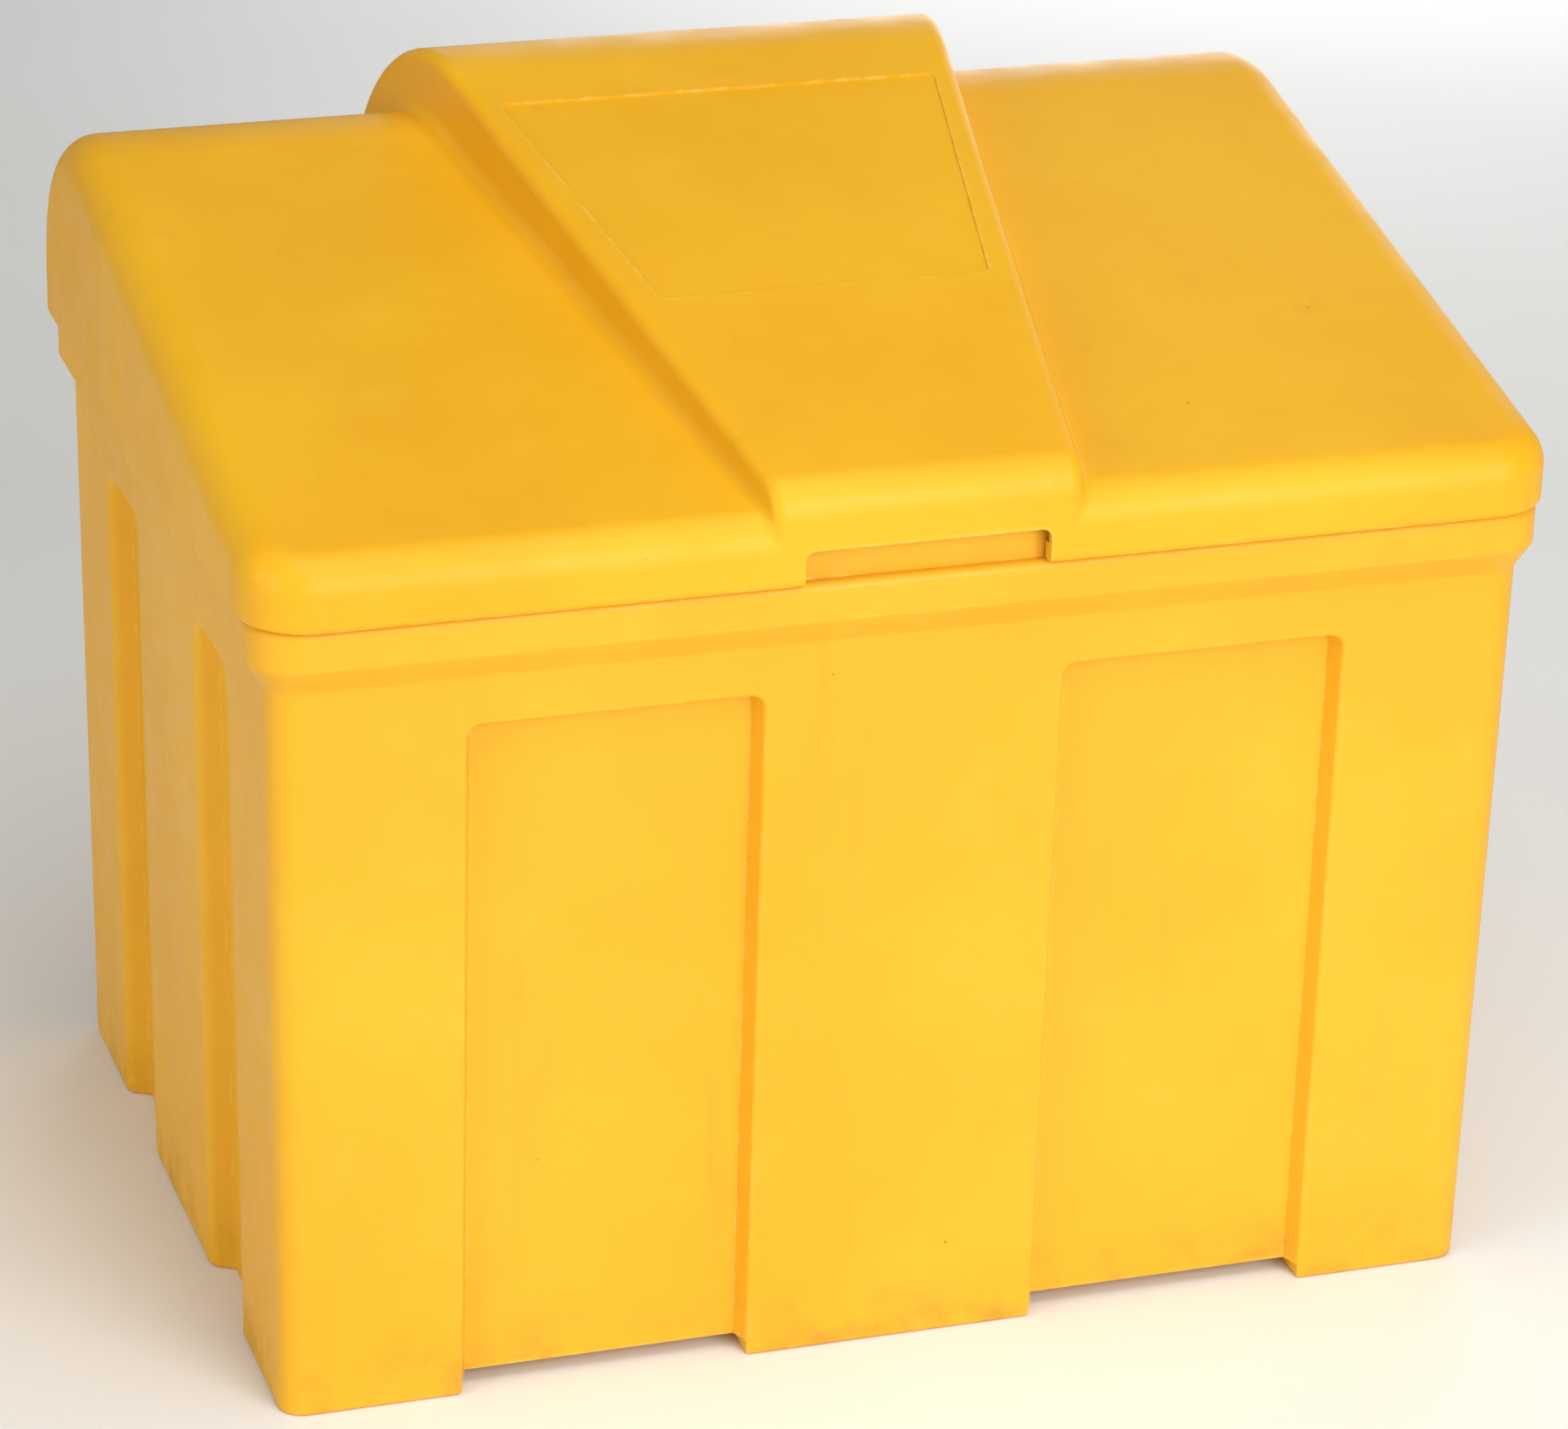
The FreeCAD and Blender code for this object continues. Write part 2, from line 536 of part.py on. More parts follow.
def lid_form(name, inset, foot):
    """The lid's plain sloping form, set in from its outside."""
    body = new_body(name)
    front_z = side_profile(body, name, RIDGE_LINE_Z, LID_PITCH, "Sizes.lid_slope", inset, "0", "0", foot)
    tall = front_z - number(foot)
    front = number("(" + HALF_LID_Y + " - " + inset + ")")

    def front_corner(edge):
        box = edge.BoundBox
        return abs(box.YMax + front) < 0.01 and abs(box.ZLength - tall) < 0.01

    rounded(body, name + "_corners", front_corner, "(Sizes.lid_front_corner - " + inset + ")")
    round_front(body, name, front_z, inset)
    return body


def hump_form(name, inset, foot):
    """The raised band: a steeper profile cut to a wedge that splays towards the back."""
    profile = new_body(name + "_profile")
    front_z = side_profile(
        profile, name, HUMP_LINE_Z, HUMP_PITCH, "Sizes.hump_slope",
        inset, "Sizes.hump_set", "Sizes.hump_proud", foot,
    )
    round_front(profile, name, front_z, inset)
    plan = new_body(name + "_plan")
    sketch = new_sketch(plan, name + "_wedge", "XY_Plane", foot)
    splay = "tan(Sizes.hump_splay * 1 deg)"
    front_top = "(" + HUMP_LINE_Z + " - (" + HALF_LID_Y + " + " + RIDGE_Y + ") * " + HUMP_PITCH + ")"
    lean = "((" + front_top + " - " + foot + ") * tan(Sizes.hump_side_draft * 1 deg))"
    beyond = "Sizes.ridge_round"
    reach = "(" + HALF_LID_Y + " + " + beyond + ")"
    narrow = "(Sizes.hump_front_half - " + inset + " + " + lean + " - " + beyond + " * " + splay + ")"
    wide = "(" + narrow + " + 2 * " + reach + " * " + splay + ")"
    corners = [("-" + narrow, "-" + reach), (narrow, "-" + reach), (wide, reach), ("-" + wide, reach)]
    draw_outline(sketch, corners)
    swept(plan, "Pad", name + "_walls", sketch, "2 * Sizes.ridge_round", "-Sizes.hump_side_draft")
    common = doc.addObject("Part::MultiCommon", name)
    common.Shapes = [profile, plan]
    doc.recompute()
    return common


def part_fillet(name, base, wanted, radius):
    """A Part fillet on the edges of an object that pass a test."""
    feature = doc.addObject("Part::Fillet", name)
    feature.Base = base
    names = edges_where(base.Shape, wanted)
    feature.Edges = [(int(edge[4:]), radius, radius) for edge in names]
    base.Visibility = False
    doc.recompute()
    return feature


def joined(kind, name, first, second):
    """A Part boolean of two objects."""
    feature = doc.addObject("Part::" + kind, name)
    feature.Base = first
    feature.Tool = second
    doc.recompute()
    return feature


def build_hump():
    """Outside of the raised band, its side edges rounded."""
    sharp = hump_form("hump_skin", "0", BEAD_TOP)
    half = number("Sizes.hump_front_half") - number("Sizes.hump_round")
    foot = number(BEAD_TOP)

    def side_edge(edge):
        box = edge.BoundBox
        one_side = box.XMin * box.XMax > 0 and min(abs(box.XMin), abs(box.XMax)) > half
        return one_side and not level(edge, foot)

    return part_fillet("hump_rounded", sharp, side_edge, number("Sizes.hump_round"))


def build_lid_hollow(foot):
    """Inside of the lid: its form set in by the wall, above the edge bead."""
    plain = lid_form("lid_hollow", "Sizes.lid_wall", foot)
    hump = hump_form("hump_hollow", "Sizes.lid_wall", foot)
    body = new_body("bead_opening")
    reach_x = "(" + HALF_LID_X + " - Sizes.bead_width)"
    reach_y = "(" + HALF_LID_Y + " - Sizes.bead_width)"
    corner = "(Sizes.lid_front_corner - Sizes.bead_width - Sizes.lid_wall)"
    low = "(" + LID_FOOT + " - Sizes.bead_rise)"
    ring(body, "bead_mouth", "Pad", low, reach_x, reach_y, corner, "(3 * Sizes.bead_rise)")
    hollow = joined("Fuse", "lid_space", plain, hump)
    return joined("Fuse", "lid_space_and_mouth", hollow, body)


def build_notch():
    """Cutter for the hand notch in the front edge."""
    body = new_body("hand_notch")
    sketch = new_sketch(body, "notch_outline", "XZ_Plane", "(" + HALF_LID_Y + " + Sizes.bead_width)")
    half = "(Sizes.notch_width / 2)"
    top = "(Sizes.rim_height + Sizes.notch_rise)"
    low = "(Sizes.rim_height - Sizes.notch_rise)"
    draw_rounded(sketch, "-" + half, half, low, top, "Sizes.notch_round")
    swept(body, "Pad", "notch_block", sketch, "(3 * Sizes.bead_width)", backwards=True)
    return body


def build_label_recess():
    """Cutter for the shallow label recess in the raised band's top."""
    body = new_body("label_recess")
    lift = "(" + HUMP_LINE_Z + " - " + RIDGE_Y + " * " + HUMP_PITCH + ")"
    cosine = "cos(Sizes.hump_slope * 1 deg)"
    sketch = new_sketch(body, "label_outline", "XY_Plane", lift, "Sizes.hump_slope")
    back = "(Sizes.label_back / " + cosine + ")"
    front = "(Sizes.label_front / " + cosine + ")"
    corners = [
        ("-Sizes.label_front_half", "-" + front), ("Sizes.label_front_half", "-" + front),
        ("Sizes.label_back_half", back), ("-Sizes.label_back_half", back),
    ]
    draw_outline(sketch, corners)
    swept(body, "Pad", "label_block", sketch, "2 * Sizes.label_sunk", midplane=True)
    thick = 3 * number("Sizes.label_sunk")

    def upright(edge):
        return edge.BoundBox.XLength < 0.01 and edge.Length < thick

    rounded(body, "label_corners", upright, "Sizes.label_round")
    return body


def build_bolt_drills():
    """Cutters for the lid's row of bolt holes."""
    body = new_body("lid_bolt_drills")
    sketch = new_sketch(body, "lid_bolt_circles", "XZ_Plane", "-(" + HALF_LID_Y + " + Sizes.lid_wall)")
    for side in ("-", ""):
        for step in ("-Sizes.bolt_pitch", "0 * Sizes.bolt_pitch", "Sizes.bolt_pitch"):
            across = "(" + side + HINGE_PLACE + " + " + step + ")"
            height = "(" + AXIS_Z + " + Sizes.bolt_drop)"
            draw_circle(sketch, across, height, "(Sizes.bolt_radius + Sizes.bolt_clearance)")
    swept(body, "Pad", "drill_rods", sketch, "3 * Sizes.lid_wall")
    return body


def hump_root():
    """A test for the two long edges where the raised band's sides meet the lid's slope."""
    inner = number("Sizes.hump_front_half") - number("Sizes.hump_round")
    outer = number("Sizes.hump_front_half") + number("Sizes.rim_depth") * math.tan(
        math.radians(number("Sizes.hump_splay"))
    )
    ridge_top = number(RIDGE_Z + " + Sizes.ridge_round")
    low = number(BEAD_TOP)
    long_run = number("Sizes.rim_depth") / 2

    def on_root(edge):
        box = edge.BoundBox
        near, far = sorted((abs(box.XMin), abs(box.XMax)))
        on_side = box.XMin * box.XMax > 0 and near > inner and far < outer
        in_height = box.ZMax < ridge_top and box.ZMin > low
        return on_side and in_height and box.YLength > long_run

    return on_root


def build_lid():
    """The whole lid."""
    plain = lid_form("lid_skin", "0", LID_FOOT)
    low = number(LID_FOOT)
    rounded(plain, "lid_lower_edge", lambda e: level(e, low), "Sizes.lid_foot_round")
    outside = joined("Fuse", "lid_outside", plain, build_hump())
    blended = part_fillet("lid_blended", outside, hump_root(), number("Sizes.hump_blend"))
    shell = joined("Cut", "lid_shell", blended, build_lid_hollow(BEAD_TOP))
    cutters = doc.addObject("Part::MultiFuse", "lid_cutters")
    cutters.Shapes = [build_notch(), build_label_recess(), build_bolt_drills()]
    doc.recompute()
    return joined("Cut", "lid", shell, cutters)


# ---------------------------------------------------------------- hinges
# Each piece is drawn about its own hinge axis, which runs along X, and is then
# placed at the left or right hinge.

WALL_FACE = "-Sizes.knuckle_radius"
LEAF_FACE = "(Sizes.leaf_thick - Sizes.knuckle_radius)"
PLATE_EDGE = "(Sizes.knuckle_radius + Sizes.bolt_radius / 2)"
SEGMENT = "(Sizes.knuckle_span / 5)"
SIDES = (("left", "-1"), ("right", "1"))


def hinge_body(name, side):
    """An empty body placed on one hinge's axis."""
    body = new_body(name)
    body.setExpression(".Placement.Base.x", side + " * " + HINGE_PLACE)
    body.setExpression(".Placement.Base.y", AXIS_Y)
    body.setExpression(".Placement.Base.z", AXIS_Z)
    return body


def bolt_row(sketch, drop, radius):
    """Three circles on a leaf's row of bolts."""
    for step in ("-Sizes.bolt_pitch", "0 * Sizes.bolt_pitch", "Sizes.bolt_pitch"):
        draw_circle(sketch, step, drop, radius)


def slab(body, name, draw, face, thick):
    """A pad of a drawing, from a face at some depth behind the axis, towards the tub."""
    sketch = new_sketch(body, name + "_outline", "XZ_Plane", "-(" + face + ")")
    draw(sketch)
    return swept(body, "Pad", name, sketch, thick)


def through(body, name, draw, face, depth):
    """A pocket of a drawing, from a face at some depth behind the axis, towards the tub."""
    sketch = new_sketch(body, name + "_outline", "XZ_Plane", "-(" + face + ")")
    draw(sketch)
    return swept(body, "Pocket", name, sketch, depth, backwards=True)


def build_leaf(name, side, sign, own_knuckles):
    """A hinge leaf: plate, tabs, knuckles, bore and bolt holes.  sign is -1 below the axis, 1 above."""
    body = hinge_body(name, side)
    half = "(Sizes.leaf_length / 2)"
    near = "(" + sign + " * " + PLATE_EDGE + ")"
    far = "(" + sign + " * Sizes.leaf_reach)"
    low, high = (far, near) if sign == "-1" else (near, far)
    slab(
        body, name + "_plate", lambda s: draw_rounded(s, "-" + half, half, low, high, "(Sizes.bolt_radius)"),
        LEAF_FACE, "Sizes.leaf_thick",
    )
    for knuckle in own_knuckles:
        start = "(%d * %s - Sizes.knuckle_span / 2 + Sizes.knuckle_gap / 2)" % (knuckle, SEGMENT)
        length = "(" + SEGMENT + " - Sizes.knuckle_gap)"
        label = "%s_knuckle_%d" % (name, knuckle)
        sketch = new_sketch(body, label + "_circle", "YZ_Plane", start)
        draw_circle(sketch, None, None, "Sizes.knuckle_radius")
        swept(body, "Pad", label, sketch, length)
        sketch = new_sketch(body, label + "_tab_outline", "YZ_Plane", start)
        root = "(" + sign + " * 1.5 * " + PLATE_EDGE + ")"
        zero = "(0 * Sizes.knuckle_radius)"
        corners = [(WALL_FACE, root), (LEAF_FACE, root), (LEAF_FACE, zero), (WALL_FACE, zero)]
        draw_outline(sketch, corners)
        swept(body, "Pad", label + "_tab", sketch, length)
    sketch = new_sketch(body, name + "_bore_circle", "YZ_Plane", "-(Sizes.knuckle_span / 2)")
    draw_circle(sketch, None, None, "(Sizes.pin_radius + Sizes.pin_clearance)")
    swept(body, "Pocket", name + "_bore", sketch, "Sizes.knuckle_span", backwards=True)
    drop = "(" + sign + " * Sizes.bolt_drop)"
    hole = "(Sizes.bolt_radius + Sizes.bolt_clearance)"
    through(body, name + "_holes", lambda s: bolt_row(s, drop, hole), LEAF_FACE, "2 * Sizes.leaf_thick")
    return body


def add_stop_ears(body):
    """Folded ears at the leaf's ends that the opened lid's leaf comes to rest on."""
    name = body.Name
    sine = "sin(Sizes.open_angle * 1 deg)"
    cosine = "cos(Sizes.open_angle * 1 deg)"

    def stop_height(reach):
        opened = "(Sizes.knuckle_radius - Sizes.leaf_thick - Sizes.lid_gap)"
        return "((" + reach + " * " + cosine + " + " + opened + ") / " + sine + ")"

    inner = "(Sizes.ear_reach / 2)"
    outer = "Sizes.ear_reach"
    foot = "(-0.75 * Sizes.leaf_reach)"
    corners = [
        (WALL_FACE, foot), (LEAF_FACE, foot), (outer, "-" + PLATE_EDGE), (outer, stop_height(outer)),
        (inner, stop_height(inner)), (LEAF_FACE, "-" + PLATE_EDGE), (WALL_FACE, "-" + PLATE_EDGE),
    ]
    ends = (("near", "-(Sizes.leaf_length / 2)"), ("far", "(Sizes.leaf_length / 2 - Sizes.ear_thick)"))
    for end, start in ends:
        sketch = new_sketch(body, name + "_ear_outline_" + end, "YZ_Plane", start)
        draw_outline(sketch, corners)
        swept(body, "Pad", name + "_ear_" + end, sketch, "Sizes.ear_thick")


def build_pin(name, side):
    """A hinge pin with bevelled ends."""
    body = hinge_body(name, side)
    reach = "(Sizes.knuckle_span / 2 + 3 * Sizes.clip_thick)"
    sketch = new_sketch(body, name + "_circle", "YZ_Plane", "-" + reach)
    draw_circle(sketch, None, None, "Sizes.pin_radius")
    swept(body, "Pad", name + "_rod", sketch, "(2 * " + reach + ")")
    bevel = body.newObject("PartDesign::Chamfer", name + "_bevel")
    rod = body.getObject(name + "_rod")
    bevel.Base = (rod, edges_where(rod.Shape, lambda e: e.BoundBox.XLength < 0.01))
    bevel.setExpression("Size", "Sizes.pin_radius / 5")
    doc.recompute()
    return body


def build_clips(name, side):
    """Two push-on clips, one on each end of a pin."""
    body = hinge_body(name, side)
    starts = ("(Sizes.knuckle_span / 2)", "-(Sizes.knuckle_span / 2 + Sizes.clip_thick)")
    for index, start in enumerate(starts):
        label = "%s_%d" % (name, index)
        sketch = new_sketch(body, label + "_circle", "YZ_Plane", start)
        draw_circle(sketch, None, None, "Sizes.clip_radius")
        draw_circle(sketch, None, None, "Sizes.pin_radius")
        swept(body, "Pad", label + "_disc", sketch, "Sizes.clip_thick")
    return body


def build_plate(name, side, sign, wall):
    """A backing plate against the inside of the wall."""
    body = hinge_body(name, side)
    half = "(Sizes.leaf_length / 2 - Sizes.seat_margin)"
    middle = "(" + sign + " * Sizes.bolt_drop)"
    low = "(" + middle + " - Sizes.plate_height / 2)"
    high = "(" + middle + " + Sizes.plate_height / 2)"
    face = "(" + WALL_FACE + " - " + wall + ")"
    hole = "(Sizes.bolt_radius + Sizes.bolt_clearance)"
    slab(
        body, name + "_slab", lambda s: draw_rounded(s, "-" + half, half, low, high, "Sizes.bolt_radius"),
        face, "Sizes.plate_thick",
    )
    through(body, name + "_holes", lambda s: bolt_row(s, middle, hole), face, "2 * Sizes.plate_thick")
    return body


def build_bolts(name, side, sign, wall):
    """Three cup-head bolts put through from the inside."""
    body = hinge_body(name, side)
    drop = "(" + sign + " * Sizes.bolt_drop)"
    seat = "(" + WALL_FACE + " - " + wall + " - Sizes.plate_thick)"
    tip = "(" + LEAF_FACE + " + Sizes.washer_thick + Sizes.nut_rise + Sizes.bolt_tip)"
    slab(body, name + "_heads", lambda s: bolt_row(s, drop, "Sizes.head_radius"), seat, "Sizes.head_rise")
    crown = number(seat) - number("Sizes.head_rise")
    wide = number("Sizes.head_radius")

    def crown_edge(edge):
        box = edge.BoundBox
        return box.YLength < 0.01 and abs(box.YMin - crown) < 0.01 and box.XLength > wide

    rounded(body, name + "_domes", crown_edge, "(0.8 * Sizes.head_rise)")
    length = "(" + tip + " - " + seat + ")"
    slab(body, name + "_shanks", lambda s: bolt_row(s, drop, "Sizes.bolt_radius"), tip, length)
    return body


def build_washers(name, side, sign):
    """Three flat washers under the nuts."""
    body = hinge_body(name, side)
    drop = "(" + sign + " * Sizes.bolt_drop)"
    face = "(" + LEAF_FACE + " + Sizes.washer_thick)"

    def draw(sketch):
        bolt_row(sketch, drop, "Sizes.washer_radius")
        bolt_row(sketch, drop, "(Sizes.bolt_radius + Sizes.fit_gap)")

    slab(body, name + "_discs", draw, face, "Sizes.washer_thick")
    return body


def build_nuts(name, side, sign):
    """Three hexagon nuts."""
    body = hinge_body(name, side)
    face = "(" + LEAF_FACE + " + Sizes.washer_thick + Sizes.nut_rise)"
    point = "(Sizes.nut_flats / 2 / cos(30 deg))"

    def draw(sketch):
        for step in ("-Sizes.bolt_pitch", "0 * Sizes.bolt_pitch", "Sizes.bolt_pitch"):
            corners = []
            for turn in range(6):
                across = "(%s + %s * cos(%d deg))" % (step, point, 60 * turn + 30)
                up = "(%s * Sizes.bolt_drop + %s * sin(%d deg))" % (sign, point, 60 * turn + 30)
                corners.append((across, up))
            draw_outline(sketch, corners)
        bolt_row(sketch, "(" + sign + " * Sizes.bolt_drop)", "(Sizes.bolt_radius + Sizes.fit_gap / 2)")

    slab(body, name + "_hexagons", draw, face, "Sizes.nut_rise")
    return body


def build_hinge(word, side):
    """Every piece of one hinge, by node name."""
    pieces = {}
    name = "tub_hinge_leaf_" + word
    pieces[name] = build_leaf(name, side, "-1", (0, 2, 4))
    add_stop_ears(pieces[name])
    name = "lid_hinge_leaf_" + word
    pieces[name] = build_leaf(name, side, "1", (1, 3))
    name = "hinge_pin_" + word
    pieces[name] = build_pin(name, side)
    name = "hinge_pin_clips_" + word
    pieces[name] = build_clips(name, side)
    for owner, sign in (("tub", "-1"), ("lid", "1")):
        wall = "Sizes." + owner + "_wall"
        name = owner + "_backing_plate_" + word
        pieces[name] = build_plate(name, side, sign, wall)
        name = owner + "_hinge_bolts_" + word
        pieces[name] = build_bolts(name, side, sign, wall)
        name = owner + "_hinge_washers_" + word
        pieces[name] = build_washers(name, side, sign)
        name = owner + "_hinge_nuts_" + word
        pieces[name] = build_nuts(name, side, sign)
    return pieces


def check_document():
    """Stop if any object of the document failed to build."""
    for thing in doc.Objects:
        if "Invalid" in thing.State or "Error" in thing.State:
            raise RuntimeError("%s did not build: %s" % (thing.Name, thing.State))


def export_nodes(pieces):
    """Check each piece's shape, then write one STEP file per piece."""
    for name, piece in pieces.items():
        if piece.Shape.isNull() or not piece.Shape.isValid() or not piece.Shape.Solids:
            raise RuntimeError(name + " has no valid shape")
    os.makedirs("parts", exist_ok=True)
    for name, piece in pieces.items():
        piece.Label = name
        piece.Shape.exportStep("parts/" + name + ".step")


nodes = {"tub": build_tub(), "lid": build_lid()}
for word, side in SIDES:
    nodes.update(build_hinge(word, side))
doc.recompute()
check_document()
export_nodes(nodes)
for name, piece in nodes.items():
    print("%-26s %9.1f cm3, %d solid(s)" % (name, piece.Shape.Volume / 1000, len(piece.Shape.Solids)))
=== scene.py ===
import json
import math
import random

import bmesh
import bpy
from mathutils import Matrix, Vector

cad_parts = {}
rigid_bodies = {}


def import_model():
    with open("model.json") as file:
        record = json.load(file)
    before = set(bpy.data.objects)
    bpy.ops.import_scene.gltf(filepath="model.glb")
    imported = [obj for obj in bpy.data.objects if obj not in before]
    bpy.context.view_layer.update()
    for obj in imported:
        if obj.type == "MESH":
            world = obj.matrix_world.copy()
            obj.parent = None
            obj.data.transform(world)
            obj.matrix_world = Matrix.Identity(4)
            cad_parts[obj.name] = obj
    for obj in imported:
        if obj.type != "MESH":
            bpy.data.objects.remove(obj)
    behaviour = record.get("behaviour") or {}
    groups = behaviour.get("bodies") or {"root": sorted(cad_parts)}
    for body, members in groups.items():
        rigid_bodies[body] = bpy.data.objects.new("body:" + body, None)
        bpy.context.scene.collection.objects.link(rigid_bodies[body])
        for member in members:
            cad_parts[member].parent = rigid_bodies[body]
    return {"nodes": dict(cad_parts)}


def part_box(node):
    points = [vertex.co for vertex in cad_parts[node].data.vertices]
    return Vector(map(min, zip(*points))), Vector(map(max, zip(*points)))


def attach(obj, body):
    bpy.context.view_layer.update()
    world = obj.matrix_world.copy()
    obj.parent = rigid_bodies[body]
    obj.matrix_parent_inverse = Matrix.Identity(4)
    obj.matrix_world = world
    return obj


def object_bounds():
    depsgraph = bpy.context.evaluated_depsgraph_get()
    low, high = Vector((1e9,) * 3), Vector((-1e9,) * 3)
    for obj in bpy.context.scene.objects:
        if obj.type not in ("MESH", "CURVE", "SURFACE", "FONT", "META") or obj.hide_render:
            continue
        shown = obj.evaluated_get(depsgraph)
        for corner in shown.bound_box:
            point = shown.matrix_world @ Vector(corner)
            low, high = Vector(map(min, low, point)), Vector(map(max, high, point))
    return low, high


# A moulded grit bin on a pale floor.  Everything is in metres, in the frame of
# the CAD model: +Z up, the front towards -Y, the origin on the ground.

for thing in list(bpy.data.objects):
    bpy.data.objects.remove(thing, do_unlink=True)

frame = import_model()
cad_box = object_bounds()
nodes = frame["nodes"]
random.seed(41)


# ------------------------------------------------------------- node helpers

class Graph:
    """A small wrapper that adds and joins shader nodes."""

    def __init__(self, material):
        material.use_nodes = True
        self.tree = material.node_tree
        self.shader = self.tree.nodes["Principled BSDF"]
        self.place = self.add("ShaderNodeTexCoord").outputs["Object"]

    def add(self, kind, **settings):
        node = self.tree.nodes.new(kind)
        for name, value in settings.items():
            setattr(node, name, value)
        return node

    def link(self, source, target):
        self.tree.links.new(source, target)

    def scaled(self, scale):
        """Object coordinates stretched by a vector."""
        node = self.add("ShaderNodeMapping")
        node.inputs["Scale"].default_value = scale
        self.link(self.place, node.inputs["Vector"])
        return node.outputs["Vector"]

    def noise(self, scale, detail=3.0, rough=0.5, where=None):
        """Fractal noise, in cycles to the metre."""
        node = self.add("ShaderNodeTexNoise")
        node.inputs["Scale"].default_value = scale
        node.inputs["Detail"].default_value = detail
        node.inputs["Roughness"].default_value = rough
        self.link(where or self.place, node.inputs["Vector"])
        return node.outputs["Fac"]

    def cells(self, scale):
        """Distance to the nearest of many scattered points, and a colour for each."""
        node = self.add("ShaderNodeTexVoronoi")
        node.inputs["Scale"].default_value = scale
        self.link(self.place, node.inputs["Vector"])
        return node

    def ramp(self, value, low, high, low_out=0.0, high_out=1.0, smooth=True):
        """A value moved from one range to another, held at both ends."""
        node = self.add("ShaderNodeMapRange")
        node.interpolation_type = "SMOOTHSTEP" if smooth else "LINEAR"
        node.inputs["From Min"].default_value = low
        node.inputs["From Max"].default_value = high
        node.inputs["To Min"].default_value = low_out
        node.inputs["To Max"].default_value = high_out
        self.link(value, node.inputs["Value"])
        return node.outputs["Result"]

    def mixed(self, amount, first, second):
        """Two colours mixed by an amount; each is a colour or a socket."""
        node = self.add("ShaderNodeMix", data_type="RGBA")
        factor, left, right = (node.inputs[index] for index in (0, 6, 7))
        for socket, value in ((factor, amount), (left, first), (right, second)):
            if isinstance(value, bpy.types.NodeSocket):
                self.link(value, socket)
            else:
                socket.default_value = value
        return node.outputs[2]

    def maths(self, operation, first, second):
        """A maths node on sockets or numbers."""
        node = self.add("ShaderNodeMath", operation=operation)
        for socket, value in zip(node.inputs, (first, second)):
            if isinstance(value, bpy.types.NodeSocket):
                self.link(value, socket)
            else:
                socket.default_value = value
        return node.outputs[0]

    def bump(self, height, distance, strength=1.0, under=None):
        """A bump on top of another normal."""
        node = self.add("ShaderNodeBump")
        node.inputs["Strength"].default_value = strength
        node.inputs["Distance"].default_value = distance
        self.link(height, node.inputs["Height"])
        if under is not None:
            self.link(under, node.inputs["Normal"])
        return node.outputs["Normal"]

    def edges(self, radius):
        """Near 1 on edges and corners, 0 on open faces."""
        soft = self.add("ShaderNodeBevel", samples=4)
        soft.inputs["Radius"].default_value = radius
        plain = self.add("ShaderNodeNewGeometry")
        dot = self.add("ShaderNodeVectorMath", operation="DOT_PRODUCT")
        self.link(soft.outputs["Normal"], dot.inputs[0])
        self.link(plain.outputs["Normal"], dot.inputs[1])
        return self.ramp(dot.outputs["Value"], 0.995, 0.90)


def shade(red, green, blue):
    """A colour from its 0 to 255 values."""
    linear = [(part / 255 / 12.92) if part <= 10 else ((part / 255 + 0.055) / 1.055) ** 2.4
              for part in (red, green, blue)]
    return (*linear, 1.0)


# ------------------------------------------------------------- materials

